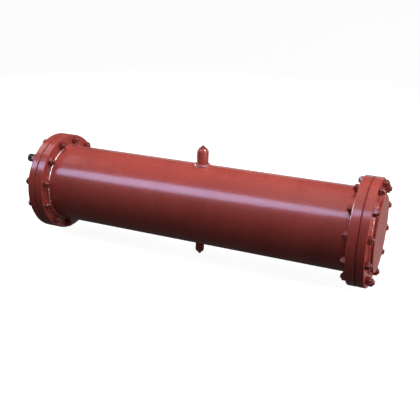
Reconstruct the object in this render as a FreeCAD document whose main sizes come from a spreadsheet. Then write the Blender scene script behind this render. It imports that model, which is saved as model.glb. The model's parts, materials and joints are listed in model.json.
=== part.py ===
"""Shell and tube heat exchanger, a FreeCAD model built from separate pieces.

A round vessel lies along X with its middle at the origin. A tube sheet closes each end of the shell
and runs out past it as the bolted flange. Straight tubes run from sheet to sheet. Outside each sheet
sit a gasket and a cover, which is a ring with an end plate welded into it, held by twelve studs.
Two water nozzles leave the left cover, a vent stands on top and a drain hangs below.
+Z is up, lengths are in millimetres.
"""
import FreeCAD, Part
import math
import os
import re
import Sketcher

from FreeCAD import Placement, Rotation, Vector

# Every size that can be set by itself, written once. Formulas below name these words.
SIZES = {
    # shell
    "shell_diameter": 273.0,
    "shell_wall": 7.1,
    "shell_length": 1076.0,
    "girth_weld_leg": 5.5,
    # tube sheets, which are also the flanges of the shell
    "sheet_thickness": 29.0,
    "edge_chamfer": 1.5,
    # tubes
    "tube_diameter": 25.0,
    "tube_wall": 2.0,
    "tube_ligament": 7.0,
    "tube_lane": 11.0,
    "tube_edge_gap": 4.0,
    "tube_fit": 0.1,
    # gaskets and covers
    "gasket_thickness": 3.0,
    "gasket_gap": 2.0,
    "ring_thickness": 26.0,
    "ring_ledge": 5.0,
    "plate_stand": 16.0,
    "plate_seat": 9.0,
    "plate_fit": 0.2,
    "plate_chamfer": 1.5,
    "plate_weld_leg": 8.0,
    "plate_gap": 14.0,
    # bolting
    "bolt_count": 12,
    "bolt_lean": 19.0,
    "bolt_clearance": 1.0,
    "bolt_edge": 18.0,
    "stud_diameter": 16.0,
    "stud_stand": 5.0,
    "stud_chamfer": 1.5,
    "nut_wall": 4.0,
    "nut_height": 14.0,
    "nut_fit": 0.1,
    "nut_gap": 3.0,
    # vent on top, with its plug
    "vent_diameter": 40.0,
    "vent_wall": 6.0,
    "vent_height": 51.5,
    "vent_inside": 2.0,
    "vent_weld_leg": 6.0,
    "vent_band_step": 3.0,
    "vent_band_height": 5.5,
    "vent_cone_step": 3.0,
    "vent_cone_height": 11.4,
    "vent_tip_diameter": 5.0,
    # drain below, with its plug
    "drain_diameter": 30.0,
    "drain_wall": 5.0,
    "drain_height": 30.0,
    "drain_inside": 2.0,
    "drain_weld_leg": 5.0,
    "drain_band_step": 0.5,
    "drain_band_height": 5.5,
    "drain_cone_step": 0.2,
    "drain_cone_height": 12.6,
    "drain_tip_diameter": 5.0,
    # both stubs and plugs
    "stub_fit": 0.1,
    "plug_depth": 14.0,
    "plug_fit": 0.1,
    # water nozzles on the left cover
    "nozzle_bore": 22.0,
    "nozzle_wall": 6.0,
    "nozzle_reach": 127.0,
    "nozzle_height": 68.0,
    "nozzle_chamfer": 1.5,
    "nozzle_weld_leg": 5.0,
    "nozzle_fit": 0.1,
    "thread_wall": 4.0,
    "thread_length": 36.0,
}

# Radii. All but the holes', the nuts' and the nozzles' are from the axis of the shell.
SHELL_RADIUS = "shell_diameter / 2"
SHELL_BORE = "(shell_diameter / 2 - shell_wall)"
NUT_REACH = "stud_diameter / 2 + nut_wall"
BOLT_HOLE = "stud_diameter / 2 + bolt_clearance"
BOLT_RADIUS = SHELL_RADIUS + " + girth_weld_leg + nut_gap + " + NUT_REACH
RIM_RADIUS = BOLT_RADIUS + " + bolt_edge"
PLATE_RADIUS = BOLT_RADIUS + " - (" + NUT_REACH + ") - plate_gap - plate_weld_leg"
HEADER_RADIUS = PLATE_RADIUS + " - ring_ledge"
GASKET_RADIUS = BOLT_RADIUS + " - (" + BOLT_HOLE + ") - gasket_gap"
NOZZLE_RADIUS = "nozzle_bore / 2 + nozzle_wall"

# Stations along X, outwards from the middle of the shell.
SHEET_IN = "shell_length / 2"
SHEET_OUT = SHEET_IN + " + sheet_thickness"
RING_IN = SHEET_OUT + " + gasket_thickness"
RING_OUT = RING_IN + " + ring_thickness"
PLATE_IN = RING_OUT + " - plate_seat"
PLATE_OUT = RING_OUT + " + plate_stand"

UPWARDS = Rotation()
DOWNWARDS = Rotation(Vector(1, 0, 0), 180)
TO_X = Rotation(Vector(0, 1, 0), 90)
TO_MIDDLE = Rotation(Vector(0, 1, 0), -90)

doc = FreeCAD.newDocument("heat_exchanger")
sheet = doc.addObject("Spreadsheet::Sheet", "sizes")
for row, (alias, value) in enumerate(SIZES.items(), start=1):
    sheet.set("A%d" % row, alias)
    sheet.set("B%d" % row, str(value))
    sheet.setAlias("B%d" % row, alias)
doc.recompute()

pieces = []


def formula(text):
    """Point each word of a formula that names a size at its cell."""
    return re.sub(r"[a-z_]+", lambda word: ("sizes." if word[0] in SIZES else "") + word[0], text)


def cell(alias):
    return float(sheet.get(alias))


def bind(item, **formulas):
    """Bind properties of an object to the sheet; two underscores stand for a dot."""
    for name, text in formulas.items():
        item.setExpression(name.replace("__", "."), formula(text))
    return item


def piece(item, label):
    """Name a finished sub-part; its label is also its file's name."""
    item.Label = label
    pieces.append(item)
    return item


# ---------------------------------------------------------------- sketches

def new_body(name):
    body = doc.addObject("PartDesign::Body", name + "_body")
    body.AllowCompound = True
    return body


def sketch_at(body, name, station="0", role="YZ_Plane"):
    """Add a sketch to a body, square to X unless another plane is named, at a station along it."""
    sketch = body.newObject("Sketcher::SketchObject", name)
    plane = next(item for item in body.Origin.OriginFeatures if item.Role == role)
    sketch.AttachmentSupport = [(plane, "")]
    sketch.MapMode = "FlatFace"
    return bind(sketch, AttachmentOffset__Base__z=station)


def size_constraint(sketch, text, *where):
    """Add a constraint whose value follows a formula; its kind and points come last."""
    index = sketch.addConstraint(Sketcher.Constraint(*where))
    name = "size_%d" % index
    sketch.renameConstraint(index, name)
    bind(sketch, **{"Constraints__" + name: text})


def add_circle(sketch, radius, up=None):
    """Draw a circle on the axis, or straight above it at the height given."""
    middle = Vector(0, 0 if up is None else 100, 0)
    circle = sketch.addGeometry(Part.Circle(middle, Vector(0, 0, 1), 10), False)
    size_constraint(sketch, radius, "Radius", circle, 10)
    if up is None:
        sketch.addConstraint(Sketcher.Constraint("Coincident", circle, 3, -1, 1))
    else:
        sketch.addConstraint(Sketcher.Constraint("PointOnObject", circle, 3, -2))
        size_constraint(sketch, up, "DistanceY", -1, 1, circle, 3, 100)


def add_hexagon(sketch, half_flats, up):
    """Draw a hexagon straight above the axis, with a flat side towards the axis."""
    corners = [Vector(13 * math.sin(turn), 100 + 13 * math.cos(turn), 0)
               for turn in (math.radians(60 * count - 30) for count in range(6))]
    sides = [sketch.addGeometry(Part.LineSegment(corners[count], corners[(count + 1) % 6]), False)
             for count in range(6)]
    for count, side in enumerate(sides):
        sketch.addConstraint(Sketcher.Constraint("Coincident", side, 2, sides[(count + 1) % 6], 1))
    corner_radius = "(" + half_flats + ") / cos(30)"
    for left, right, width, rise in ((0, 1, 1, " + "), (5, 2, 2, " + 0 * "), (4, 3, 1, " - ")):
        sketch.addConstraint(Sketcher.Constraint("Symmetric", sides[left], 1, sides[right], 1, -2))
        size_constraint(sketch, "%d * %s" % (width, corner_radius),
                        "DistanceX", sides[left], 1, sides[right], 1, 13 * width)
        size_constraint(sketch, up + rise + "(" + half_flats + ")", "DistanceY", -1, 1, sides[left], 1, 100)


def add_profile(sketch, points):
    """Draw a closed outline for turning, from the axis and back to it, through radius and height."""
    last = len(points) - 1
    lines = [sketch.addGeometry(Part.LineSegment(Vector(count, count ** 2, 0),
                                                 Vector(count + 1, (count + 1) ** 2, 0)), False)
             for count in range(last)]
    lines.append(sketch.addGeometry(Part.LineSegment(Vector(last, last ** 2, 0), Vector()), False))
    for count, (radius, height) in enumerate(points):
        line = lines[count]
        sketch.addConstraint(Sketcher.Constraint("Coincident", line, 2, lines[(count + 1) % (last + 1)], 1))
        if count in (0, last):
            sketch.addConstraint(Sketcher.Constraint("PointOnObject", line, 1, -2))
        else:
            size_constraint(sketch, radius, "DistanceX", -1, 1, line, 1, 1 + count)
        size_constraint(sketch, height, "DistanceY", -1, 1, line, 1, 1 + count)


# ---------------------------------------------------------------- features

def pad(body, name, sketch, length):
    feature = body.newObject("PartDesign::Pad", name)
    feature.Profile = sketch
    bind(feature, Length=length)
    doc.recompute()
    return feature


def pocket(body, name, sketch, depth, forwards=True):
    """Cut a sketch away along its plane's direction, or against it, and see that material went."""
    before = body.Shape.Volume
    feature = body.newObject("PartDesign::Pocket", name)
    feature.Profile = sketch
    feature.Reversed = forwards
    bind(feature, Length=depth)
    doc.recompute()
    if body.Shape.Volume > before - 1:
        raise RuntimeError(name + " cuts nothing")
    return feature


def around(body, feature, sketch, count="bolt_count"):
    """Repeat a feature round the axis, once for each bolt unless another count is given."""
    pattern = body.newObject("PartDesign::PolarPattern", feature.Name + "_all")
    pattern.Originals = [feature]
    pattern.Axis = (sketch, ["N_Axis"])
    pattern.Angle = 360
    bind(pattern, Occurrences=count)
    body.Tip = pattern
    doc.recompute()


def chamfer_rims(body, size, outer_end=False):
    """Chamfer the outermost circles of a body, or only that of its outer end."""
    rims = [(edge.Curve.Radius, round(edge.BoundBox.Center.x, 6), "Edge%d" % index)
            for index, edge in enumerate(body.Shape.Edges, start=1) if isinstance(edge.Curve, Part.Circle)]
    if outer_end:
        furthest = max(station for _, station, _ in rims)
        rims = [rim for rim in rims if rim[1] == furthest]
    largest = max(radius for radius, _, _ in rims)
    rims = [rim for rim in rims if rim[0] > largest - 0.001]
    base = body.Tip
    feature = body.newObject("PartDesign::Chamfer", body.Name + "_chamfer")
    feature.Base = (base, [name for _, _, name in rims])
    bind(feature, Size=size)
    body.Tip = feature
    doc.recompute()


def round_body(name, outer, inner, start, length, up=None, role="YZ_Plane"):
    """Make a round tube along an axis, or a disc or bar if it has no inner radius."""
    body = new_body(name)
    sketch = sketch_at(body, name + "_outline", start, role)
    add_circle(sketch, outer, up)
    if inner:
        add_circle(sketch, inner, up)
    pad(body, name + "_pad", sketch, length)
    return body


def bolt_holes(body, name, station, depth):
    sketch = sketch_at(body, name + "_hole_circle", station)
    add_circle(sketch, BOLT_HOLE, BOLT_RADIUS)
    around(body, pocket(body, name + "_hole", sketch, depth), sketch)


def fillet_weld(name, radius, leg, station, turn, up="0", sink="0"):
    """Make the bead round a round piece where it leaves a face; sunk, it reaches below that face."""
    bead = doc.addObject("Part::Cone", name + "_bead")
    core = doc.addObject("Part::Cylinder", name + "_core")
    height = leg + " + " + sink
    bind(bead, Radius1=radius + " + " + height, Radius2=radius, Height=height)
    bind(core, Radius=radius, Height=height)
    for item in (bead, core):
        item.Placement = Placement(Vector(), turn)
        if turn == UPWARDS:
            bind(item, Placement__Base__z=station + " - " + sink)
        else:
            bind(item, Placement__Base__x=station, Placement__Base__z=up)
    return cut(name + "_ring", bead, core)


def cut(name, base, tool):
    result = doc.addObject("Part::Cut", name)
    result.Base, result.Tool = base, tool
    return result


# ---------------------------------------------------------------- shell, vent and drain

shell = round_body("vessel", SHELL_RADIUS, SHELL_BORE, "-shell_length / 2", "shell_length")
for stub, forwards in (("vent", True), ("drain", False)):
    hole = sketch_at(shell, stub + "_hole_circle", role="XY_Plane")
    add_circle(hole, stub + "_diameter / 2 + stub_fit")
    pocket(shell, stub + "_hole", hole, SHELL_RADIUS, forwards)
piece(shell, "shell")

for stub, upright in (("vent", True), ("drain", False)):
    place = Placement(Vector(), UPWARDS if upright else DOWNWARDS)
    outer = stub + "_diameter / 2"
    top = SHELL_RADIUS + " + " + stub + "_height"

    pipe = round_body(stub + "_pipe", outer, outer + " - " + stub + "_wall",
                      SHELL_BORE + " - " + stub + "_inside",
                      "shell_wall + " + stub + "_inside + " + stub + "_height", role="XY_Plane")
    pipe.Placement = place
    piece(pipe, stub + "_stub")

    plug = new_body(stub + "_plug")
    outline = sketch_at(plug, stub + "_plug_outline", role="XZ_Plane")
    inner = outer + " - " + stub + "_wall - plug_fit"
    band = outer + " - " + stub + "_band_step"
    band_top = top + " + " + stub + "_band_height"
    cone_top = band_top + " + " + stub + "_cone_height"
    add_profile(outline, [
        ("0", top + " - plug_depth"),
        (inner, top + " - plug_depth"),
        (inner, top),
        (band, top),
        (band, band_top),
        (band + " - " + stub + "_cone_step", band_top),
        (stub + "_tip_diameter / 2", cone_top),
        ("0", cone_top)])
    turned = plug.newObject("PartDesign::Revolution", stub + "_plug_turned")
    turned.Profile = outline
    turned.ReferenceAxis = (outline, ["V_Axis"])
    turned.Angle = 360
    plug.Placement = place
    piece(plug, stub + "_plug")

    ring = fillet_weld(stub + "_weld", outer, stub + "_weld_leg", SHELL_RADIUS, UPWARDS,
                       sink=stub + "_weld_leg")
    barrel = doc.addObject("Part::Cylinder", stub + "_weld_barrel")
    bind(barrel, Radius=SHELL_RADIUS, Height="4 * " + stub + "_diameter")
    barrel.Placement = Placement(Vector(), TO_X)
    bind(barrel, Placement__Base__x="-2 * " + stub + "_diameter")
    bead = cut(stub + "_weld_cut", ring, barrel)
    bead.Placement = place
    piece(bead, stub + "_weld")

# ---------------------------------------------------------------- tubes

def tube_places():
    """Give each tube's Y and Z: staggered rows above and below a clear lane."""
    radius = cell("tube_diameter") / 2
    pitch = 2 * radius + cell("tube_ligament")
    limit = cell("shell_diameter") / 2 - cell("shell_wall") - cell("tube_edge_gap") - radius
    first_rise = cell("tube_lane") / 2 + radius
    row_rise = pitch * math.cos(math.radians(30))
    places = []
    for row in range(math.ceil((limit - first_rise) / row_rise)):
        rise = first_rise + row * row_rise
        half_width = math.sqrt(limit ** 2 - rise ** 2)
        shift = pitch / 2 if row % 2 else 0
        steps = range(-math.ceil(half_width / pitch), math.ceil(half_width / pitch) + 1)
        for across in (step * pitch + shift for step in steps):
            if abs(across) <= half_width:
                places += [(across, rise), (across, -rise)]
    return places


def tube_solids(radius, start, length):
    return [Part.makeCylinder(radius, length, Vector(start, across, rise), Vector(1, 0, 0))
            for across, rise in tube_places()]


sheet_in = cell("shell_length") / 2
sheet_out = sheet_in + cell("sheet_thickness")
tube_radius = cell("tube_diameter") / 2
outsides = tube_solids(tube_radius, -sheet_out, 2 * sheet_out)
insides = tube_solids(tube_radius - cell("tube_wall"), -sheet_out, 2 * sheet_out)
tubes = doc.addObject("Part::Feature", "tube_bundle")
tubes.Shape = Part.makeCompound([outside.cut(inside) for outside, inside in zip(outsides, insides)])
piece(tubes, "tubes")

tube_holes = doc.addObject("Part::Feature", "tube_holes")
tube_holes.Shape = Part.makeCompound(tube_solids(tube_radius + cell("tube_fit"), sheet_in - 1,
                                                 cell("sheet_thickness") + 2))

# ---------------------------------------------------------------- the two ends

for side, half_turn in (("right", Rotation()), ("left", Rotation(Vector(0, 0, 1), 180))):
    # The left end is the right end turned half round the upright axis. The first bolt leans the
    # same way on both ends, so its angle changes sign with the turn.
    plain = Placement(Vector(), half_turn)
    lean = cell("bolt_lean") * (1 if side == "right" else -1)
    bolt_lean = Rotation(Vector(1, 0, 0), lean)
    bolted = Placement(Vector(), half_turn * bolt_lean)

    def ended(item, label, place):
        item.Placement = place
        piece(item, side + "_" + label)

    blank = round_body(side + "_sheet", RIM_RADIUS, None, SHEET_IN, "sheet_thickness")
    bolt_holes(blank, side + "_sheet", SHEET_IN, "sheet_thickness")
    chamfer_rims(blank, "edge_chamfer")
    blank.Placement = Placement(Vector(), bolt_lean)
    ended(cut(side + "_sheet_drilled", blank, tube_holes), "tube_sheet", plain)

    ended(fillet_weld(side + "_girth", SHELL_RADIUS, "girth_weld_leg", SHEET_IN, TO_MIDDLE),
          "shell_weld", plain)

    ended(round_body(side + "_joint_ring", GASKET_RADIUS, HEADER_RADIUS, SHEET_OUT, "gasket_thickness"),
          "gasket", plain)

    ring = round_body(side + "_ring", RIM_RADIUS, HEADER_RADIUS, RING_IN, "ring_thickness")
    seat = sketch_at(ring, side + "_seat_circle", PLATE_IN)
    add_circle(seat, PLATE_RADIUS + " + plate_fit")
    pocket(ring, side + "_seat", seat, "plate_seat")
    bolt_holes(ring, side + "_ring", RING_IN, "ring_thickness")
    chamfer_rims(ring, "edge_chamfer")
    ended(ring, "cover_ring", bolted)

    plate = round_body(side + "_plate", PLATE_RADIUS, None, PLATE_IN, "plate_seat + plate_stand")
    chamfer_rims(plate, "plate_chamfer", outer_end=True)
    if side == "left":
        mouths = sketch_at(plate, "nozzle_hole_circle", PLATE_IN)
        add_circle(mouths, NOZZLE_RADIUS + " + nozzle_fit", "nozzle_height")
        mouth = pocket(plate, "nozzle_hole", mouths, "plate_seat + plate_stand")
        around(plate, mouth, mouths, "2")
    ended(plate, "end_plate", plain)

    ended(fillet_weld(side + "_rim", PLATE_RADIUS, "plate_weld_leg", RING_OUT, TO_X),
          "end_plate_weld", plain)

    studs = round_body(side + "_stud", "stud_diameter / 2", None,
                       SHEET_IN + " - nut_height - stud_stand",
                       RING_OUT + " - " + SHEET_IN + " + 2 * nut_height + 2 * stud_stand", BOLT_RADIUS)
    around(studs, studs.Tip, studs.Tip.Profile[0])
    chamfer_rims(studs, "stud_chamfer")
    ended(studs, "studs", bolted)

    for where, start in (("inner", SHEET_IN + " - nut_height"), ("outer", RING_OUT)):
        nuts = new_body(side + "_" + where + "_nut")
        outline = sketch_at(nuts, side + "_" + where + "_nut_outline", start)
        add_hexagon(outline, NUT_REACH, BOLT_RADIUS)
        add_circle(outline, "stud_diameter / 2 + nut_fit", BOLT_RADIUS)
        around(nuts, pad(nuts, side + "_" + where + "_nut_pad", outline, "nut_height"), outline)
        ended(nuts, where + "_nuts", bolted)

# ---------------------------------------------------------------- water nozzles, left cover

for level, turn in (("upper", Rotation()), ("lower", DOWNWARDS)):
    place = Placement(Vector(), Rotation(Vector(0, 0, 1), 180) * turn)
    nozzle = round_body(level + "_pipe", NOZZLE_RADIUS, "nozzle_bore / 2", PLATE_IN,
                        "plate_seat + nozzle_reach - thread_length", "nozzle_height")
    end = sketch_at(nozzle, level + "_thread_outline", RING_OUT + " + nozzle_reach - thread_length")
    add_circle(end, "nozzle_bore / 2 + thread_wall", "nozzle_height")
    add_circle(end, "nozzle_bore / 2", "nozzle_height")
    pad(nozzle, level + "_thread", end, "thread_length")
    chamfer_rims(nozzle, "nozzle_chamfer", outer_end=True)
    nozzle.Placement = place
    piece(nozzle, level + "_nozzle")

    bead = fillet_weld(level + "_collar", NOZZLE_RADIUS, "nozzle_weld_leg", PLATE_OUT, TO_X,
                       "nozzle_height")
    bead.Placement = place
    piece(bead, level + "_nozzle_weld")

# ---------------------------------------------------------------- check and write

doc.recompute()
for item in doc.Objects:
    if "Invalid" in item.State or "Error" in item.State:
        raise RuntimeError(item.Name + " didn't build")
for item in pieces:
    if item.Shape.isNull() or not item.Shape.isValid():
        raise RuntimeError(item.Label + " has no valid shape")

os.makedirs("parts", exist_ok=True)
for item in pieces:
    item.Shape.exportStep("parts/%s.step" % item.Label)
    print("%-24s %3d solids %12.0f mm3" % (item.Label, len(item.Shape.Solids), item.Shape.Volume))
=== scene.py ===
# %% [markdown]
# # A shell and tube heat exchanger, finished in Blender
#
# A round vessel of red oxide paint lies on its side. Each end is a flange with a bolted cover, a vent
# stands on top, a drain hangs below and two bare water nozzles leave the left cover. The measured
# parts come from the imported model, and this lesson adds what gives them their looks: rippled welds,
# chamfered nuts, threads, paint and light. Lengths are in metres and X runs along the vessel.

# %% Load the measured parts
import json
import math

import bmesh
import bpy
from mathutils import Euler, Matrix, Vector

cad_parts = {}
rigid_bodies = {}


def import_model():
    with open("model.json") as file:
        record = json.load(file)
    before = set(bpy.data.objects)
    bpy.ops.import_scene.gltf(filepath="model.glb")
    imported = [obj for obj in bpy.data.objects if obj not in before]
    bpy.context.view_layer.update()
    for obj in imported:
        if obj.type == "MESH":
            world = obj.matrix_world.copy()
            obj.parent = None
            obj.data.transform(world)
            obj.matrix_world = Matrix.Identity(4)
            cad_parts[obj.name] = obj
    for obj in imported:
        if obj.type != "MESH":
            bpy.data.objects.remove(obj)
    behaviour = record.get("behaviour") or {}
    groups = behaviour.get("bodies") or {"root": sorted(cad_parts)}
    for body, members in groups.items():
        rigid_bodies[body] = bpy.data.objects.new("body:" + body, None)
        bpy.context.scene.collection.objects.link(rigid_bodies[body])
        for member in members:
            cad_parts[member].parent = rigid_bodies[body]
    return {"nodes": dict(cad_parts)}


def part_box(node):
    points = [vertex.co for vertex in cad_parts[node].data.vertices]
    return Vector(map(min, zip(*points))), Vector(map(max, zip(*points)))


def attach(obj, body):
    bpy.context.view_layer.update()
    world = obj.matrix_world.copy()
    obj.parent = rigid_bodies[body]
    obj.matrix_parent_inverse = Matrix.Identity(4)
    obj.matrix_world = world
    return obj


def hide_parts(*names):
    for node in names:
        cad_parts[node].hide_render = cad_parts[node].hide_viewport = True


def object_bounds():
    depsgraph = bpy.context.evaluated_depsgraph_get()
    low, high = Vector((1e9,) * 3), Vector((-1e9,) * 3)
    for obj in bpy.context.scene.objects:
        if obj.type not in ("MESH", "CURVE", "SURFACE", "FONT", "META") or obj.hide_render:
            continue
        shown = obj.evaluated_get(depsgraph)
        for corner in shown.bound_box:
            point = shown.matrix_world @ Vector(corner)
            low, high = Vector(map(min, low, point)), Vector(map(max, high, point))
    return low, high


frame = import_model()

cad_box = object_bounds()
print("the vessel measures", [round(high - low, 3) for low, high in zip(*cad_box)], "m")

# %% [markdown]
# ## Sizes taken from the parts
#
# Every added piece sits on a measured one, so its size is read from that part's box instead of being
# typed in again. A box gives two corners, which is enough for round parts that lie along X: half the
# height is the radius, and the ends along X are the stations. One box holds all twelve studs of an
# end, so how thick a stud is and how wide its nut is come from the standard for M16 instead.

# %% Read the stations and the radii
def span(node, axis):
    low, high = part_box(node)
    return low[axis], high[axis]


def half_width(node, axis=2):
    low, high = span(node, axis)
    return (high - low) / 2


MM = 0.001
ENDS = {"right": 1, "left": -1}
LEVELS = {"upper": 1, "lower": -1}
SHELL_RADIUS = half_width("shell", 1)
RIM_RADIUS = half_width("left_tube_sheet")
PLATE_RADIUS = half_width("right_end_plate")
SHELL_END = span("shell", 0)[1]
RING_FACE = span("right_cover_ring", 0)[1]
PLATE_FACE = span("right_end_plate", 0)[1]
print("shell radius %.4f, rim radius %.4f, end plate radius %.4f"
      % (SHELL_RADIUS, RIM_RADIUS, PLATE_RADIUS))

# %% Read the bolting
BOLTS = 12
BOLT_STEP = 2 * math.pi / BOLTS
BOLT_LEAN = math.radians(19)
STUD_RADIUS = 8 * MM
NUT_HALF_FLATS = 12 * MM
NUT_HEIGHT = span("right_outer_nuts", 0)[1] - RING_FACE
highest_bolt = min(BOLT_LEAN, BOLT_STEP - BOLT_LEAN)
BOLT_RADIUS = (half_width("right_studs") - STUD_RADIUS) / math.cos(highest_bolt)
print("%d bolts on a circle of radius %.4f, nuts %.4f high" % (BOLTS, BOLT_RADIUS, NUT_HEIGHT))

# %% [markdown]
# ## Writing node graphs as Python
#
# A material and a Geometry Nodes tree are both graphs of nodes. Adding nodes one by one hides the
# idea, so a small class wraps a socket: `+`, `-`, `*` and `/` on wrapped values add a Math node. One
# method, `node`, adds any other kind from its settings and the values or links of its sockets.

# %% A socket that understands arithmetic
def operator(operation, swapped=False):
    """Make the method that an operator calls."""
    def method(value, other):
        return value.maths(operation, other, swapped=swapped)
    return method


class Value:
    """A socket that carries a number; operators on it add Math nodes."""

    def __init__(self, graph, socket):
        self.graph, self.socket = graph, socket

    def maths(self, operation, *others, swapped=False):
        inputs = [self, *others]
        if swapped:
            inputs.reverse()
        made = self.graph.node("ShaderNodeMath", {"operation": operation}, dict(enumerate(inputs)))
        return Value(self.graph, made.outputs[0])

    __add__ = operator("ADD")
    __radd__ = operator("ADD", swapped=True)
    __sub__ = operator("SUBTRACT")
    __rsub__ = operator("SUBTRACT", swapped=True)
    __mul__ = operator("MULTIPLY")
    __rmul__ = operator("MULTIPLY", swapped=True)
    __truediv__ = operator("DIVIDE")
    __pow__ = operator("POWER")
    at_least = operator("MAXIMUM")

    def sine(self):
        return self.maths("SINE")

    def cosine(self):
        return self.maths("COSINE")

    def root(self):
        return self.maths("SQRT")

    def step(self, low, high):
        """Rise smoothly from 0 at low to 1 at high."""
        made = self.graph.node("ShaderNodeMapRange", {"interpolation_type": "SMOOTHSTEP"},
                               {"Value": self, "From Min": low, "From Max": high})
        return Value(self.graph, made.outputs[0])

    def clamped(self):
        made = self.graph.node("ShaderNodeClamp", {}, {"Value": self})
        return Value(self.graph, made.outputs[0])


# %% The graph that holds the nodes
class Graph:
    """A node tree, with one method that adds any node."""

    def __init__(self, tree):
        self.tree = tree

    def node(self, kind, settings=None, inputs=None):
        made = self.tree.nodes.new(kind)
        for setting, value in (settings or {}).items():
            setattr(made, setting, value)
        for key, value in (inputs or {}).items():
            self.feed(made.inputs[key], value)
        return made

    def feed(self, socket, value):
        if isinstance(value, Value):
            value = value.socket
        if isinstance(value, bpy.types.NodeSocket):
            self.tree.links.new(value, socket)
        else:
            socket.default_value = value


# %% A material made from such a graph
class Shader(Graph):
    """A new material with one Principled shader."""

    def __init__(self, name, **settings):
        self.material = bpy.data.materials.new(name)
        self.material.use_nodes = True
        super().__init__(self.material.node_tree)
        self.surface = self.tree.nodes["Principled BSDF"]
        for socket, value in settings.items():
            self.surface.inputs[socket.replace("_", " ")].default_value = value
        self.place = self.node("ShaderNodeTexCoord").outputs["Object"]

    def noise(self, scale, detail=3.0, roughness=0.5, stretch=None):
        place = self.place
        if stretch is not None:
            place = self.node("ShaderNodeMapping", {}, {"Vector": place, "Scale": stretch}).outputs[0]
        made = self.node("ShaderNodeTexNoise", {}, {
            "Vector": place, "Scale": scale, "Detail": detail, "Roughness": roughness})
        return Value(self, made.outputs["Fac"])

    def axes(self):
        """Give the place's X, Y and Z as values."""
        parts = self.node("ShaderNodeSeparateXYZ", {}, {0: self.place})
        return [Value(self, part) for part in parts.outputs]

    def facing_up(self):
        """Give the upward part of the surface's direction, from -1 to 1."""
        normal = self.node("ShaderNodeNewGeometry").outputs["Normal"]
        return Value(self, self.node("ShaderNodeSeparateXYZ", {}, {0: normal}).outputs[2])

    def mix(self, mask, first, second):
        """Mix two colours by a mask."""
        made = self.node("ShaderNodeMix", {"data_type": "RGBA"}, {0: mask, 6: first, 7: second})
        return made.outputs[2]

    def bump(self, height, distance, strength=1.0, under=None):
        inputs = {"Height": height, "Distance": distance, "Strength": strength}
        if under is not None:
            inputs["Normal"] = under
        return self.node("ShaderNodeBump", {}, inputs).outputs[0]

    def finish(self, **sockets):
        for socket, value in sockets.items():
            self.feed(self.surface.inputs[socket.replace("_", " ")], value)
        return self.material


# %% [markdown]
# ## Red oxide paint
#
# The vessel wears one sprayed coat of glossy red oxide over steel. Sprayed paint is never quite even:
# it pools a little darker in places, dries with an orange peel of tiny dimples, and carries a dusting
# of dry overspray that dulls the gloss in patches. Noises of several sizes make these. Each is tied
# to the place on the object, so nothing slides when the view moves. Dust that settles on whatever
# faces up comes from the surface's own direction. On beads and bolts the paint runs thicker, so a
# stronger clear layer on top of it gives them their wet glints.

# %% Mix the paint
PAINT = (0.410, 0.069, 0.056, 1)
PAINT_DEEP = (0.300, 0.044, 0.038, 1)
PAINT_DRY = (0.430, 0.105, 0.090, 1)
DUST = (0.400, 0.200, 0.170, 1)
COAT_ROUGHNESS = 0.17
PAINT_BEND, PAINT_SHEEN = 1.45, 0.35
MILL_SCALE = (0.110, 0.098, 0.092, 1)
RUST = (0.150, 0.058, 0.026, 1)


def red_oxide(name, shade=1.0, roughness=0.24, peel=0.05, waves=0.35, coat=0.62, coat_bend=1.5,
              bare_within=None):
    """Make the paint; within the radius given, if any, the steel was never painted."""
    shader = Shader(name, Coat_Roughness=COAT_ROUGHNESS, Coat_IOR=coat_bend, IOR=PAINT_BEND,
                    Specular_IOR_Level=PAINT_SHEEN)
    clouds = shader.noise(4.5, 4.0)
    patches = shader.noise(34.0, 5.0, 0.6)
    passes = shader.noise(9.0, 3.0, 0.5, stretch=(2.6, 0.5, 0.5))
    specks = shader.noise(900.0, 2.0)
    pooled = (clouds.step(0.42, 0.66) * 0.6 + passes.step(0.45, 0.70) * 0.4).clamped()
    dusted = (patches.step(0.50, 0.74) * specks.step(0.35, 0.60)).clamped()
    settled = shader.facing_up().step(0.60, 1.0) * (0.4 + patches * 0.6)
    even, deep = ([part * shade for part in colour[:3]] + [1] for colour in (PAINT, PAINT_DEEP))
    colour = shader.mix(pooled * 0.55, even, deep)
    colour = shader.mix(dusted * 0.08, colour, PAINT_DRY)
    colour = shader.mix(settled * 0.03, colour, DUST)
    rough = roughness + dusted * 0.14 + clouds * 0.06
    gloss = coat - dusted * 0.25 - settled * 0.10
    metal = 0.0
    if bare_within:
        _, across, rise = shader.axes()
        unpainted = 1 - (across * across + rise * rise).root().step(bare_within - 1 * MM, bare_within)
        steel = shader.mix(patches.step(0.40, 0.66), MILL_SCALE, RUST)
        colour = shader.mix(unpainted, colour, steel)
        rough = rough + unpainted * 0.25
        gloss = gloss * (1 - unpainted)
        metal = unpainted * 0.6
    surface = shader.bump(shader.noise(22.0, 2.0), 0.6 * MM, waves)
    surface = shader.bump(shader.noise(420.0, 2.0, 0.45), 1.0 * MM, peel, surface)
    return shader.finish(Base_Color=colour, Roughness=rough, Coat_Weight=gloss, Metallic=metal,
                         Normal=surface)


paint = red_oxide("red oxide paint")
shell_paint = red_oxide("painted outside, bare inside", bare_within=SHELL_RADIUS - 3 * MM)
sheet_paint = red_oxide("painted rim, bare middle", bare_within=half_width("left_gasket"))
weld_paint = red_oxide("paint over weld", shade=1.05, roughness=0.18, peel=0.02, coat=1.0, coat_bend=2.7)
small_weld_paint = red_oxide("paint over small weld", roughness=0.20, peel=0.02, coat=0.9, coat_bend=1.65)
bolt_paint = red_oxide("paint over bolting", shade=0.60, roughness=0.16, peel=0.35, coat=0.8, coat_bend=1.6)
print("mixed", len(paint.node_tree.nodes), "nodes of paint")

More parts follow.
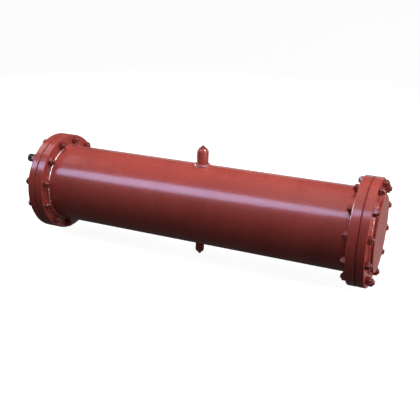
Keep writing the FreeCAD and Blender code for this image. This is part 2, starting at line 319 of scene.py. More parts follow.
# %% [markdown]
# ## Bare steel and gasket sheet
#
# The two water nozzles are left unpainted, because a pipe is screwed on to them. They are dark drawn
# steel, streaked along its length, with a little rust that starts in the low spots. The tubes are the
# same steel, cleaner. The gaskets are pressed fibre sheet, and at their edge the spray has gone over
# them, so the joint reads as a dark red-brown line.

# %% Mix the steel and the sheet
FIBRE = (0.030, 0.024, 0.022, 1)
FIBRE_SPRAYED = (0.110, 0.018, 0.014, 1)


def drawn_steel(name, base, rust_share, roughness):
    shader = Shader(name, IOR=2.2)
    streaks = shader.noise(60.0, 4.0, 0.6, stretch=(0.08, 1.0, 1.0))
    blotches = shader.noise(85.0, 5.0, 0.65)
    grains = shader.noise(1400.0, 2.0)
    rusted = (blotches.step(0.52, 0.70) * grains.step(0.30, 0.60)).clamped() * rust_share
    dark = [part * 0.55 for part in base] + [1]
    colour = shader.mix(streaks.step(0.35, 0.68), [*base, 1], dark)
    colour = shader.mix(rusted, colour, RUST)
    surface = shader.bump(streaks, 0.4 * MM, 0.25)
    surface = shader.bump(grains, 0.3 * MM, 0.12, surface)
    return shader.finish(Base_Color=colour, Metallic=1 - rusted * 0.9,
                         Roughness=roughness + streaks * 0.10 + rusted * 0.35, Normal=surface)


def fibre_sheet(name):
    shader = Shader(name, Specular_IOR_Level=0.3)
    fibres = shader.noise(700.0, 3.0, 0.6, stretch=(1.0, 0.25, 0.25))
    overspray = shader.noise(60.0, 4.0, 0.6).step(0.35, 0.62)
    colour = shader.mix(overspray * 0.75, FIBRE, FIBRE_SPRAYED)
    return shader.finish(Base_Color=colour, Roughness=0.62 + fibres * 0.2,
                         Normal=shader.bump(fibres, 0.4 * MM, 0.5))


nozzle_steel = drawn_steel("drawn nozzle steel", (0.330, 0.320, 0.330), 0.6, 0.40)
tube_steel = drawn_steel("tube steel", (0.300, 0.290, 0.280), 0.5, 0.30)
gasket_sheet = fibre_sheet("gasket sheet")

# %% Give every measured part its finish
FINISHES = {"shell": shell_paint, "left_tube_sheet": sheet_paint, "right_tube_sheet": sheet_paint,
            "tubes": tube_steel, "left_gasket": gasket_sheet, "right_gasket": gasket_sheet}
for name, node in frame["nodes"].items():
    finish = FINISHES.get(name, weld_paint if name.endswith("_weld") else paint)
    node.data.materials.clear()
    node.data.materials.append(finish)
print("finished", len(frame["nodes"]), "parts")

# %% [markdown]
# ## Turned shapes
#
# The plugs, the stubs, the nozzles and the studs are all turned on a lathe, so one helper makes them
# from an outline of radius and station. A screw thread is turned as well: its crests and roots creep
# along the axis by one pitch in each turn. Where the last point of a ring meets the first point of
# the ring two further on, the seam closes by merging them, which leaves one true helix.

# %% A lathe that can cut threads
MERGE_WITHIN = 0.004 * MM
SHARP_EDGE = math.radians(32)
THREAD_FADE = 0.6


def ring(radius, station):
    """One ring of an outline, the same all round."""
    return lambda turn: (radius, station)


def thread(start, end, root, crest, pitch):
    """The rings of a screw thread that fades out at both ends."""
    low, high = min(start, end), max(start, end)

    def helix(count):
        def point(turn):
            station = low + (count / 2 - 1 + turn) * pitch
            depth = min(1, max(0, min(station - low, high - station) / (THREAD_FADE * pitch)))
            radius = root + (crest - root) * depth * (count % 2)
            return radius, min(high, max(low, station))
        return point

    rings = [helix(count) for count in range(math.ceil((high - low) / pitch) * 2 + 3)]
    return rings if start < end else rings[::-1]


def turned(name, rings, material, segments=48, closed=False, axis="X", shift=(0, 0, 0)):
    """Turn an outline about an axis; a closed outline makes a pipe."""
    mesh = bmesh.new()
    grid = []
    for point in rings:
        row = []
        for count in range(segments + 1):
            angle = 2 * math.pi * count / segments
            radius, station = point(count / segments)
            sideways = (radius * math.sin(angle), radius * math.cos(angle))
            row.append(mesh.verts.new((station, *sideways) if axis == "X" else (*sideways, station)))
        grid.append(row)
    if closed:
        grid.append(grid[0])
    for row, following in zip(grid, grid[1:]):
        for count in range(segments):
            corners = [row[count], row[count + 1], following[count + 1], following[count]]
            mesh.faces.new(corners)
    bmesh.ops.remove_doubles(mesh, verts=mesh.verts, dist=MERGE_WITHIN)
    bmesh.ops.recalc_face_normals(mesh, faces=mesh.faces)
    bmesh.ops.translate(mesh, verts=mesh.verts, vec=shift)
    data = bpy.data.meshes.new(name)
    mesh.to_mesh(data)
    mesh.free()
    data.set_sharp_from_angle(angle=SHARP_EDGE)
    data.materials.append(material)
    piece = bpy.data.objects.new(name, data)
    bpy.context.scene.collection.objects.link(piece)
    return piece


def outline(*points):
    """Rings from pairs of radius and station."""
    return [ring(radius, station) for radius, station in points]


# %% [markdown]
# ## The painted joint
#
# Between each flange and its cover the gasket stops short of the bolts, so a slot a few millimetres
# wide runs all round. On a finished vessel the slot is closed near its mouth with a bead of compound
# that keeps water off the studs, and the spray reaches that bead. Without it the slot would look
# black. The bead is turned in the slot, outside the studs, with a hollow face. Its paint is darker
# than the vessel's: that darkening is painted shade, standing in for the shade inside the slot.

# %% Turn the two beads of compound
MOUTH_DEPTH, COMPOUND_DEPTH = 2.6 * MM, 5 * MM
HOLLOW, SHOULDER, SHOULDER_OFF = 0.8 * MM, 0.6 * MM, 0.9 * MM
# The bead's paint is darkened (shade 0.55) as painted shade for the slot; the bead itself is a real piece.
joint_paint_shaded = red_oxide("paint in the joint", shade=0.55, roughness=0.45, coat=0.2)
for side in ENDS:
    low, high = span(side + "_gasket", 0)
    mouth, middle = RIM_RADIUS - MOUTH_DEPTH, (low + high) / 2
    inside = mouth - COMPOUND_DEPTH
    bead_rings = outline((inside, low), (mouth, low), (mouth - SHOULDER, middle - SHOULDER_OFF),
                         (mouth - HOLLOW, middle), (mouth - SHOULDER, middle + SHOULDER_OFF),
                         (mouth, high), (inside, high))
    seal = turned(side + "_joint_bead", bead_rings, joint_paint_shaded, segments=180, closed=True)
    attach(seal, "root")
print("the joint is", round(1000 * (high - low), 1), "mm wide")

# %% [markdown]
# ## Vent and drain
#
# A short stub of pipe stands on the shell, and a turned plug closes it until a valve is fitted. The
# CAD plug has the right steps but knife edges. On a real plug each edge is broken by the tool and
# then rounded by paint, and the light finds those rounded edges first. Turning the outline with a
# few extra points at each edge gives that at once, where bevelling afterwards would need care at the
# point of the cone. The plug's band wears the welds' glossy paint and its cone the bolts' darker one.

# %% Turn the stubs and the plugs
STUB_WALL = {"vent": 6 * MM, "drain": 5 * MM}
BAND_STEP = {"vent": 3.0 * MM, "drain": 0.5 * MM}
CONE_STEP = {"vent": 3.0 * MM, "drain": 0.2 * MM}
BAND_HEIGHT = 5.5 * MM


def stub_and_plug(side, upright):
    inner_end, outer_end = sorted(abs(value) for value in span(side + "_stub", 2))
    stub_radius = half_width(side + "_stub", 0)
    bottom, top = sorted(abs(value) for value in span(side + "_plug", 2))
    pipe_bore = stub_radius - STUB_WALL[side]
    band_radius, band_top = stub_radius - BAND_STEP[side], outer_end + BAND_HEIGHT
    cone_radius, cone = band_radius - CONE_STEP[side], top - band_top
    edge = min(2.0 * MM, BAND_STEP[side])
    slope = min(2.4 * MM, 0.3 * MM + CONE_STEP[side])
    pipe = outline((pipe_bore, inner_end), (stub_radius, inner_end), (stub_radius, outer_end - edge),
                   (stub_radius - 0.35 * edge, outer_end - 0.4 * edge), (stub_radius - edge, outer_end),
                   (pipe_bore, outer_end))
    plug = outline((0, bottom), (pipe_bore - 0.6 * MM, bottom), (pipe_bore - 0.1 * MM, bottom + 0.5 * MM),
                   (pipe_bore - 0.1 * MM, outer_end), (band_radius - 0.4 * MM, outer_end),
                   (band_radius, outer_end + 0.6 * MM), (band_radius, band_top - slope),
                   (band_radius - 0.35 * slope, band_top - 0.4 * slope), (band_radius - slope, band_top),
                   (cone_radius - 0.1 * MM, band_top + 0.1 * MM),
                   (cone_radius * 0.74, band_top + cone * 0.25),
                   (cone_radius * 0.48, band_top + cone * 0.56),
                   (cone_radius * 0.30, band_top + cone * 0.83), (2.4 * MM, top - 0.6 * MM),
                   (1.0 * MM, top - 0.06 * MM), (0, top))
    for kind, rings, closed in (("pipe", pipe, True), ("cap", plug, False)):
        turned_piece = turned("%s_%s" % (side, kind), rings, bolt_paint if kind == "cap" else paint,
                              segments=56, closed=closed, axis="Z")
        if kind == "cap":
            turned_piece.data.materials.append(weld_paint)
            for face in turned_piece.data.polygons:
                face.material_index = int(face.center.z < band_top)
        if not upright:
            turned_piece.data.transform(Matrix.Rotation(math.pi, 4, "X"))
        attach(turned_piece, "root")
        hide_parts(side + ("_stub" if kind == "pipe" else "_plug"))
    print(side, "stands", round(1000 * (top - SHELL_RADIUS), 1), "mm off the shell")


stub_and_plug("vent", True)
stub_and_plug("drain", False)

# %% [markdown]
# ## Water nozzles
#
# Two heavy pipes pass through the left cover. Each ends in a screw thread for the union of a water
# pipe, with a lip that is turned smooth round the bore. Nothing of the thread shows from far off but
# a dull grey shimmer, yet it tells what the end is for as soon as one comes near.

# %% Turn the nozzles
THREAD_PITCH, THREAD_DEPTH, THREAD_LENGTH = 2.0 * MM, 1.1 * MM, 36 * MM
NOZZLE_WALL, TURNED_DOWN = 6 * MM, 2 * MM
LIP = 1.4 * MM
for level in LEVELS:
    tip, root_end = span(level + "_nozzle", 0)
    low, high = span(level + "_nozzle", 2)
    middle, radius = (low + high) / 2, (high - low) / 2
    bore, crest = radius - NOZZLE_WALL, radius - TURNED_DOWN
    root, thread_end = crest - THREAD_DEPTH, tip + THREAD_LENGTH
    rings = outline((bore, root_end), (radius, root_end), (radius, thread_end + 0.8 * MM),
                    (radius - 0.8 * MM, thread_end), (root, thread_end))
    rings += thread(thread_end, tip + LIP, root, crest, THREAD_PITCH)
    rings += outline((root, tip + LIP), (crest - 1.8 * MM, tip + 0.3 * MM),
                     (crest - 2.2 * MM, tip), (bore + 0.5 * MM, tip), (bore, tip + 0.5 * MM))
    nozzle = turned(level + "_water_nozzle", rings, nozzle_steel, closed=True, shift=(0, 0, middle))
    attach(nozzle, "root")
    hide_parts(level + "_nozzle")
    print(nozzle.name, "has", len(nozzle.data.polygons), "faces")

# %% [markdown]
# ## Recipes in Geometry Nodes
#
# Bolts round a circle, ripples round a weld and spatter on the shell are each one small shape that
# repeats by a rule. Geometry Nodes hold such a rule: a tree takes named sizes, places the shape, and
# ends in real faces with a material. A holder object runs the tree once, and keeps a plain mesh.

# %% A class for recipes
class Recipe(Graph):
    """A Geometry Nodes tree whose inputs are named sizes and a template shape."""

    def __init__(self, name, **kinds):
        super().__init__(bpy.data.node_groups.new(name, "GeometryNodeTree"))
        kinds = {"template": "Object", "material": "Material", "seed": "Int", **kinds}
        self.identifiers = {}
        for label, kind in kinds.items():
            socket = self.tree.interface.new_socket(label, in_out="INPUT", socket_type="NodeSocket" + kind)
            self.identifiers[label] = socket.identifier
        self.tree.interface.new_socket("Geometry", in_out="OUTPUT", socket_type="NodeSocketGeometry")
        self.given = self.node("NodeGroupInput").outputs
        self.index = Value(self, self.node("GeometryNodeInputIndex").outputs[0])

    def size(self, label):
        return Value(self, self.given[label])

    def vector(self, x, y, z):
        return self.node("ShaderNodeCombineXYZ", {}, {0: x, 1: y, 2: z}).outputs[0]

    def vectors(self, operation, *inputs, **named):
        """Work on whole vectors, such as adding two."""
        made = self.node("ShaderNodeVectorMath", {"operation": operation},
                         {**dict(enumerate(inputs)), **named})
        return made.outputs[0]

    def euler(self, x, y, z):
        """A rotation from three angles."""
        return self.node("FunctionNodeEulerToRotation", {}, {0: self.vector(x, y, z)}).outputs[0]

    def random(self, low, high, extra=0):
        made = self.node("FunctionNodeRandomValue", {"data_type": "FLOAT"}, {
            2: low, 3: high, "ID": self.index, "Seed": self.size("seed") + extra})
        return Value(self, made.outputs[1])

    def points(self, count, position):
        made = self.node("GeometryNodePoints", {}, {"Count": count, "Position": position})
        return made.outputs[0]

    def end(self, points, rotation, scale, turn=None, move=None):
        """Stand the template on the points, make it real and give it its material."""
        shape = self.node("GeometryNodeObjectInfo", {}, {"Object": self.given["template"]})
        stood = self.node("GeometryNodeInstanceOnPoints", {}, {
            "Points": points, "Instance": shape.outputs["Geometry"], "Rotation": rotation,
            "Scale": scale})
        real = self.node("GeometryNodeRealizeInstances", {}, {0: stood.outputs[0]})
        if turn is not None:
            real = self.node("GeometryNodeTransform", {}, {
                "Geometry": real.outputs[0], "Rotation": turn, "Translation": move})
        done = self.node("GeometryNodeSetMaterial", {}, {
            "Geometry": real.outputs[0], "Material": self.given["material"]})
        self.node("NodeGroupOutput", {}, {0: done.outputs[0]})

    def run(self, name, **values):
        """Run the recipe once and give back a plain mesh in an object."""
        holder = bpy.data.objects.new(name, bpy.data.meshes.new(name))
        bpy.context.scene.collection.objects.link(holder)
        modifier = holder.modifiers.new(name, "NODES")
        modifier.node_group = self.tree
        for label, value in {"seed": 1, **values}.items():
            modifier[self.identifiers[label]] = value
        graph = bpy.context.evaluated_depsgraph_get()
        mesh = bpy.data.meshes.new_from_object(holder.evaluated_get(graph))
        holder.modifiers.remove(modifier)
        mesh.materials.clear()
        mesh.materials.append(values["material"])
        for face in mesh.polygons:
            face.material_index = 0
        holder.data = mesh
        mesh.name = name
        return holder


# %% Keep a template out of sight
def template(name, mesh):
    """Turn an unfinished mesh into an object that only recipes use."""
    data = bpy.data.meshes.new(name)
    mesh.to_mesh(data)
    mesh.free()
    for face in data.polygons:
        face.use_smooth = True
    shape = bpy.data.objects.new(name, data)
    bpy.context.scene.collection.objects.link(shape)
    return shape


def discard(shape):
    data = shape.data
    bpy.data.objects.remove(shape)
    bpy.data.meshes.remove(data)


def join(name, pieces):
    """Make one piece from several meshes of the same finish."""
    mesh = bmesh.new()
    for part in pieces:
        mesh.from_mesh(part.data)
    data = bpy.data.meshes.new(name)
    mesh.to_mesh(data)
    mesh.free()
    data.materials.append(pieces[0].data.materials[0])
    whole = bpy.data.objects.new(name, data)
    bpy.context.scene.collection.objects.link(whole)
    for part in pieces:
        discard(part)
    return whole


# %% [markdown]
# ## Nuts
#
# A hexagon nut is turned from hexagon bar: the lathe cuts a 30 degree cone across both ends, which
# leaves a round face and six curved scallops on the flats. Those curves catch the light, and a plain
# hexagon lacks them. The shape is a ring of points whose radius follows the hexagon and whose height
# drops with that radius, so no cutting of solids is needed. The nuts were run down by hand and stop
# at any angle, so each is turned by its own small amount.

# %% Shape one nut
SIDES, SIDE_TURN = 6, 60
TURNS_ON_A_SIDE = (0, 11, 20, 26, 28.6, 31.4, 34, 40, 49)
CONE_SLOPE = math.radians(30)
FACE_SHARE, CORNER_SHARE = 0.93, 0.985
EDGE_WIDTH, EDGE_DROP = 0.4 * MM, 0.15 * MM
BORE_PLAY, BORE_CHAMFER = 0.1 * MM, 0.6 * MM


def nut_template():
    mesh = bmesh.new()
    face_radius, bore = FACE_SHARE * NUT_HALF_FLATS, STUD_RADIUS + BORE_PLAY
    corner = CORNER_SHARE * NUT_HALF_FLATS / math.cos(math.radians(SIDE_TURN / 2))
    turns = [side * SIDE_TURN + lean for side in range(SIDES) for lean in TURNS_ON_A_SIDE]
    rows = []
    for turn in turns:
        angle = math.radians(turn)
        off_flat = math.radians((turn + SIDE_TURN / 2) % SIDE_TURN - SIDE_TURN / 2)
        radius = min(corner, NUT_HALF_FLATS / math.cos(off_flat))
        drop = (radius - face_radius) * math.tan(CONE_SLOPE) + EDGE_DROP
        stations = ((bore, BORE_CHAMFER), (bore + BORE_CHAMFER, 0), (face_radius - EDGE_WIDTH, 0),
                    (face_radius, EDGE_DROP), (radius, drop), (radius, NUT_HEIGHT - drop),
                    (face_radius, NUT_HEIGHT - EDGE_DROP), (face_radius - EDGE_WIDTH, NUT_HEIGHT),
                    (bore + BORE_CHAMFER, NUT_HEIGHT), (bore, NUT_HEIGHT - BORE_CHAMFER))
        rows.append([mesh.verts.new((station, out * math.sin(angle), out * math.cos(angle)))
                     for out, station in stations])
    for row, following in zip(rows, rows[1:] + rows[:1]):
        for count in range(len(row)):
            after = (count + 1) % len(row)
            mesh.faces.new((row[count], row[after], following[after], following[count]))
    bmesh.ops.recalc_face_normals(mesh, faces=mesh.faces)
    return template("nut_shape", mesh)


nut_shape = nut_template()
print("one nut has", len(nut_shape.data.polygons), "faces")

# %% The recipe for a bolt circle
circle = Recipe("bolt circle", count="Int", radius="Float", station="Float", lean="Float", play="Float")
bolt_turn = circle.size("lean") + circle.index * (2 * math.pi) / circle.size("count")
bolt_place = circle.vector(circle.size("station"), 0 - bolt_turn.sine() * circle.size("radius"),
                           bolt_turn.cosine() * circle.size("radius"))
own_turn = bolt_turn + circle.random(0 - circle.size("play"), circle.size("play"))
circle.end(circle.points(circle.size("count"), bolt_place), circle.euler(own_turn, 0, 0), (1, 1, 1))
print("the bolt circle takes", list(circle.identifiers))

# %% Put the nuts on
HAND_TURN = math.radians(9)
SHARP_NUT_EDGE = math.radians(24)
for side, sign in ENDS.items():
    rows = []
    for row, where in enumerate(("inner", "outer")):
        station = span("%s_%s_nuts" % (side, where), 0)[0]
        rows.append(circle.run("%s_%s_row" % (side, where), template=nut_shape, material=bolt_paint,
                               count=BOLTS, radius=BOLT_RADIUS, station=station, lean=BOLT_LEAN,
                               play=HAND_TURN, seed=11 + row + 2 * sign))
    nuts = join(side + "_nuts", rows)
    nuts.data.set_sharp_from_angle(angle=SHARP_NUT_EDGE)
    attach(nuts, "root")
    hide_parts(side + "_inner_nuts", side + "_outer_nuts")
    print(nuts.name, "has", len(nuts.data.polygons), "faces in", len(nuts.data.materials), "finish")
discard(nut_shape)

# %% [markdown]
# ## Studs
#
# Each stud passes through both flanges and carries a nut at each end. Only the tips show, but the
# whole stud is turned, threaded where a nut runs and plain between. The paint has gone over the
# threads and half fills them, so they are cut shallow.

# %% Turn one stud and put twelve in each end
PAINTED_DEPTH = 0.75 * MM
THREADED_SHARE = 0.6
TIP_FACE, TIP_EDGE = 5.6 * MM, 6.4 * MM


def stud_rings(low, high):
    crest, root = STUD_RADIUS, STUD_RADIUS - PAINTED_DEPTH
    threaded = NUT_HEIGHT * THREADED_SHARE
    rings = outline((0, low), (TIP_FACE, low), (TIP_EDGE, low + 0.25 * MM), (root, low + 1.0 * MM))
    rings += thread(low + 1.0 * MM, low + threaded, root, crest, THREAD_PITCH)
    rings += outline((root, low + threaded), (crest, low + threaded + 0.8 * MM),
                     (crest, high - threaded - 0.8 * MM), (root, high - threaded))
    rings += thread(high - threaded, high - 1.0 * MM, root, crest, THREAD_PITCH)
    rings += outline((root, high - 1.0 * MM), (TIP_EDGE, high - 0.25 * MM), (TIP_FACE, high), (0, high))
    return rings


for side, sign in ENDS.items():
    low, high = span(side + "_studs", 0)
    stud_shape = turned(side + "_stud_shape", stud_rings(low, high), bolt_paint, segments=24)
    studs = circle.run(side + "_stud_circle", template=stud_shape, material=bolt_paint, count=BOLTS,
                       radius=BOLT_RADIUS, station=0.0, lean=BOLT_LEAN, play=math.pi, seed=31 + sign)
    discard(stud_shape)
    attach(studs, "root")
    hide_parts(side + "_studs")
    print(studs.name, "has", len(studs.data.polygons), "faces")

# %% [markdown]
# ## Weld beads
#
# A weld is laid as a row of small molten pools, each freezing over the edge of the last, so the bead
# looks like a roll of coins pushed over. The measured part is the plain three-cornered fillet. This
# recipe lays the pools on it: flattened drops, each tipped back, on a path where a round pipe meets
# either a flat face or the side of the shell. On the shell the path rises and falls with the curve,
# and both that rise and the way each drop faces come from the same two radii.

# %% The recipe for a bead
bead = Recipe("weld bead", count="Int", radius="Float", leg="Float", barrel="Float", saddle="Float",
              station="Float", turn="Vector", move="Vector")
around = bead.index * (2 * math.pi) / bead.size("count")
out_x, out_y = around.cosine(), around.sine()
barrel, saddle = bead.size("barrel"), bead.size("saddle")
path_x, path_y = out_x * bead.size("radius"), out_y * bead.size("radius")
rise = (barrel * barrel - path_y * path_y).at_least(0).root()
path = bead.vector(path_x, path_y, bead.size("station") + saddle * (rise - barrel))
from_pipe = bead.vector(out_x, out_y, 0)
from_floor = bead.vector(0, saddle * path_y / barrel, 1 - saddle + saddle * rise / barrel)
facing = bead.vectors("NORMALIZE", bead.vectors("ADD", from_pipe, from_floor))
along = bead.vectors("CROSS_PRODUCT", from_floor, from_pipe)
leg = bead.size("leg")
raised = leg * bead.random(0.38, 0.44, 1)
laid = bead.vectors("ADD", path, bead.vectors("SCALE", facing, Scale=raised))
upright = bead.node("FunctionNodeAxesToRotation", {"primary_axis": "Z", "secondary_axis": "X"},
                    {0: facing, 1: along}).outputs[0]
tilt = bead.euler(0, bead.random(0.25, 0.45, 2), bead.random(-0.10, 0.10, 3))
tipped = bead.node("FunctionNodeRotateRotation", {"rotation_space": "LOCAL"},
                   {0: upright, 1: tilt}).outputs[0]
drop_size = bead.vector(leg * bead.random(0.74, 0.84, 4), leg * bead.random(0.68, 0.76, 5),
                        leg * bead.random(0.42, 0.47, 6))
bead.end(bead.points(bead.size("count"), laid), tipped, drop_size,
         turn=bead.size("turn"), move=bead.size("move"))
print("the bead takes", list(bead.identifiers))


# %% Lay the beads
def ball_template(name, subdivisions):
    mesh = bmesh.new()
    bmesh.ops.create_icosphere(mesh, subdivisions=subdivisions, radius=1)
    return template(name, mesh)


drop_shape = ball_template("drop_shape", 2)
RIPPLE_STEP = 0.44


def lay(name, radius, leg, station=0.0, turn=(0, 0, 0), move=(0, 0, 0), barrel=1.0, saddle=0.0, seed=1,
        material=small_weld_paint):
    count = round(2 * math.pi * (radius + 0.4 * leg) / (RIPPLE_STEP * leg))
    laid_bead = bead.run(name, template=drop_shape, material=material, count=count, radius=radius, leg=leg,
                         station=station, turn=turn, move=move, barrel=barrel, saddle=saddle, seed=seed)
    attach(laid_bead, "root")
    print(name, "has", count, "ripples and", len(laid_bead.data.polygons), "faces")


QUARTER = math.pi / 2
SEAM_LEG, PLATE_LEG, NOZZLE_LEG, VENT_LEG, DRAIN_LEG = 8.5 * MM, 8 * MM, 5 * MM, 8.5 * MM, 6 * MM
for side, sign in ENDS.items():
    lay(side + "_shell_ripples", SHELL_RADIUS, SEAM_LEG, turn=(0, -sign * QUARTER, 0),
        move=(sign * SHELL_END, 0, 0), seed=51 + sign, material=weld_paint)
    lay(side + "_plate_ripples", PLATE_RADIUS, PLATE_LEG, turn=(0, sign * QUARTER, 0),
        move=(sign * RING_FACE, 0, 0), seed=61 + sign)
for level, sign in LEVELS.items():
    low, high = span(level + "_nozzle", 2)
    lay(level + "_nozzle_ripples", (high - low) / 2, NOZZLE_LEG, turn=(0, -QUARTER, 0),
        move=(-PLATE_FACE, 0, (low + high) / 2), seed=71 + sign)
for side, leg, sign in (("vent", VENT_LEG, 1), ("drain", DRAIN_LEG, -1)):
    lay(side + "_ripples", half_width(side + "_stub", 0), leg, station=SHELL_RADIUS,
        turn=(0 if sign > 0 else math.pi, 0, 0), barrel=SHELL_RADIUS, saddle=1.0, seed=81 + sign)
discard(drop_shape)

# %% [markdown]
# ## Spatter
#
# Welding throws small beads of steel that stick to the plate beside the seam. The ones that nobody
# chipped off stay as pimples under the paint. They are scattered by a recipe over a band of the round
# shell, each lying flat on it, with a fixed seed so that they fall in the same places every time.

# %% The recipe for spatter
THINNING = 1.8
spatter = Recipe("weld spatter", count="Int", barrel="Float", middle="Float", reach="Float",
                 top="Float", sweep="Float")
around = spatter.size("top") + spatter.random(-1, 1, 1) * spatter.size("sweep")
away = spatter.random(0, 1, 2) ** THINNING * spatter.size("reach")
barrel = spatter.size("barrel")
landed = spatter.vector(spatter.size("middle") + away, 0 - around.sine() * barrel, around.cosine() * barrel)
wide = spatter.random(0.5 * MM, 1.3 * MM, 3)
spatter.end(spatter.points(spatter.size("count"), landed), spatter.euler(around, 0, 0),
            spatter.vector(wide, wide, wide * 0.6))

# %% Scatter it by the seams
SEAM_FLECKS, SEAM_START, SEAM_REACH = 70, 7 * MM, 30 * MM
VENT_FLECKS, VENT_START, VENT_REACH = 24, 28 * MM, 26 * MM
fleck_shape = ball_template("fleck_shape", 1)
faces_of_one = len(fleck_shape.data.polygons)
flecks = []
for side, sign in ENDS.items():
    flecks.append(spatter.run(side + "_flecks", template=fleck_shape, material=weld_paint,
                              count=SEAM_FLECKS, barrel=SHELL_RADIUS, middle=sign * (SHELL_END - SEAM_START),
                              reach=-sign * SEAM_REACH, top=0.0, sweep=math.pi, seed=91 + sign))
for sign in (1, -1):
    flecks.append(spatter.run("vent_flecks", template=fleck_shape, material=weld_paint,
                              count=VENT_FLECKS, barrel=SHELL_RADIUS, middle=sign * VENT_START,
                              reach=sign * VENT_REACH, top=0.05, sweep=0.22, seed=95 + sign))
flecks = join("weld_flecks", flecks)
for face in flecks.data.polygons:
    face.use_smooth = True
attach(flecks, "root")
discard(fleck_shape)
print("scattered", len(flecks.data.polygons) // faces_of_one, "flecks")

# %% [markdown]
# ## Camera and studio
#
# The camera stands to the right of the vessel's middle and looks down on it. It is placed by angles:
# a heading, a height and a small roll, then slid sideways so that the vessel sits where it should.
# The studio is a pale bowl: a level floor that curves up into a wall all round, so every view has the
# same plain backdrop and no horizon. Only the camera sees the bowl, so it adds no light of its own.

# %% Place the camera
HEADING, HEIGHT, ROLL = math.radians(22.82), math.radians(18.63), math.radians(2.16)
DISTANCE, LENS, SENSOR = 2.224, 54.61, 36.0
SLIDE_RIGHT, SLIDE_DOWN = -0.0663, -0.0234
AIM = Vector((-0.07295, 0, 0))

back = Vector((math.sin(HEADING) * math.cos(HEIGHT), -math.cos(HEADING) * math.cos(HEIGHT),
               math.sin(HEIGHT)))
level_right = (-back).cross(Vector((0, 0, 1))).normalized()
level_up = level_right.cross(-back)
right = level_right * math.cos(ROLL) + level_up * math.sin(ROLL)
up = level_up * math.cos(ROLL) - level_right * math.sin(ROLL)
view_share = SENSOR / LENS
camera_data = bpy.data.cameras.new("camera")
camera_data.lens, camera_data.sensor_width = LENS, SENSOR
camera = bpy.data.objects.new("camera", camera_data)
place = (AIM + back * DISTANCE - right * SLIDE_RIGHT * view_share * DISTANCE
         + up * SLIDE_DOWN * view_share * DISTANCE)
camera.matrix_world = Matrix([[*axis, 0] for axis in (right, up, back)] + [[0, 0, 0, 1]]).transposed()
camera.location = place
bpy.context.scene.collection.objects.link(camera)
bpy.context.scene.camera = camera
bpy.context.scene.view_settings.view_transform = "Standard"
print("camera at", [round(part, 3) for part in place])

# %% Build the studio
FLOOR_LEVEL = cad_box[0].z - 2 * MM
FLOOR_REACH, WALL_TOP, CORNER = 9.0, 7.0, 3.0
sweep_steps = [QUARTER * count / 10 for count in range(11)]
bowl_profile = [(0.0, FLOOR_LEVEL)]
bowl_profile += [(FLOOR_REACH - CORNER + CORNER * math.sin(step),
                  FLOOR_LEVEL + CORNER - CORNER * math.cos(step)) for step in sweep_steps]
bowl_profile += [(FLOOR_REACH, WALL_TOP)]
pale = Shader("pale studio", Base_Color=(0.30, 0.30, 0.30, 1), Roughness=0.9, Emission_Strength=0.93,
              Emission_Color=(1, 1, 1, 1)).material
studio = turned("studio_bowl", outline(*bowl_profile), pale, segments=64, axis="Z")
for face in studio.data.polygons:
    face.use_smooth = True
studio.visible_diffuse = studio.visible_glossy = studio.visible_shadow = False
print("the bowl is", 2 * FLOOR_REACH, "m across")

# %% [markdown]
# ## Light
#
# A soft panel overhead gives the even light on top that fades to dark below, and weaker ones fill in
# from the near side and light the right end. Gloss would show those panels as wide pale patches, so
# they light the paint without being mirrored in it. The cards do the opposite: the gloss mirrors
# them, and they light nothing else. A long cool window high on the near side draws the one bright
# line along the shell. A card high on the left whitens the top of the left rim, a low one behind draws
# a line along the far side, and another is mirrored by the end plate. Only the left card does both,
# because no other panel faces the left end.
#
# The right card is there for the glints on beads and nuts. Seen from behind, it would burn a white
# patch on the smooth shell, so only the small pieces receive its light.

# %% Hang the lights
WHITE, WARM, COOL = (1.0, 0.97, 0.97), (1.0, 0.95, 0.95), (0.52, 0.62, 1.0)
WINDOW_ROLL = math.radians(10)


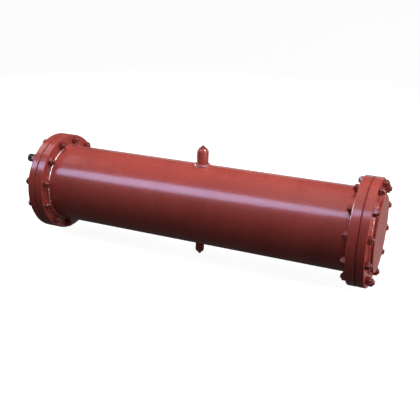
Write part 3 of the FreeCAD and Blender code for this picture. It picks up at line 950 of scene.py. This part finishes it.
def panel(name, place, width, height, watts, colour, target=(0, 0, 0), soft=True, mirrored=True,
          shape="RECTANGLE", roll=0.0):
    """Hang a light that faces its target; soft lights the paint, mirrored shows in the gloss."""
    light = bpy.data.lights.new(name, "AREA")
    light.shape, light.size, light.size_y = shape, width, height
    light.energy, light.color = watts, colour
    lamp = bpy.data.objects.new(name, light)
    facing = (Vector(target) - Vector(place)).to_track_quat("-Z", "Y")
    lamp.location, lamp.rotation_euler = place, (facing @ Euler((0, 0, roll)).to_quaternion()).to_euler()
    lamp.visible_camera, lamp.visible_diffuse, lamp.visible_glossy = False, soft, mirrored
    bpy.context.scene.collection.objects.link(lamp)
    return lamp


panel("overhead", (0.1, 0.0, 3.0), 4.0, 1.8, 132, (1.0, 0.96, 0.93), mirrored=False)
panel("near_fill", (-1.1, -3.0, 1.0), 3.0, 1.0, 6, WARM, mirrored=False)
panel("window", (-1.5, -2.04, 2.22), 3.8, 1.16, 106, COOL, target=(-1.5, 0, 0), soft=False,
      shape="ELLIPSE", roll=WINDOW_ROLL)
panel("high_card", (-3.05, 0.0, 3.0), 0.9, 1.6, 15, (1.0, 0.92, 0.97), target=(-3.05, 0, 0), soft=False)
panel("far_card", (0.0, 4.0, 0.7), 6.0, 0.6, 8, (1.0, 0.95, 0.93), soft=False)
panel("end_card", (2.1, 3.6, -1.3), 2.8, 2.2, 3.2, WHITE, target=(0.6, 0, 0), soft=False)
panel("end_wall", (4.0, -0.6, 0.9), 2.0, 1.6, 60, WARM, target=(0.6, 0, 0), mirrored=False)
panel("end_fill", (2.3, 0.2, 0.3), 0.8, 0.8, 23, WARM, target=(0.6, 0, 0), mirrored=False)
sparkle = panel("right_card", (2.7, -0.7, 2.3), 2.0, 1.4, 200, (1.0, 0.97, 1.0), target=(-0.5, 0, 0),
                soft=False)
panel("left_card", (-4.2, 1.2, 0.9), 1.6, 1.4, 110, WHITE, target=(-0.6, 0, 0))

SMALL = ("_ripples", "_nuts", "_stud_circle", "_flecks", "_cap", "_pipe")
small_pieces = bpy.data.collections.new("small pieces")
for thing in bpy.context.scene.collection.all_objects:
    if thing.name.endswith(SMALL):
        small_pieces.objects.link(thing)
sparkle.light_linking.receiver_collection = small_pieces

# %% Add the faint light of the room
ROOM_COLOUR, ROOM_STRENGTH = (0.9, 0.88, 0.88, 1), 0.05
world = bpy.data.worlds.new("studio")
world.use_nodes = True
room = world.node_tree.nodes["Background"].inputs
room["Color"].default_value = ROOM_COLOUR
room["Strength"].default_value = ROOM_STRENGTH
bpy.context.scene.world = world
print("hung", len(bpy.data.lights), "lights")
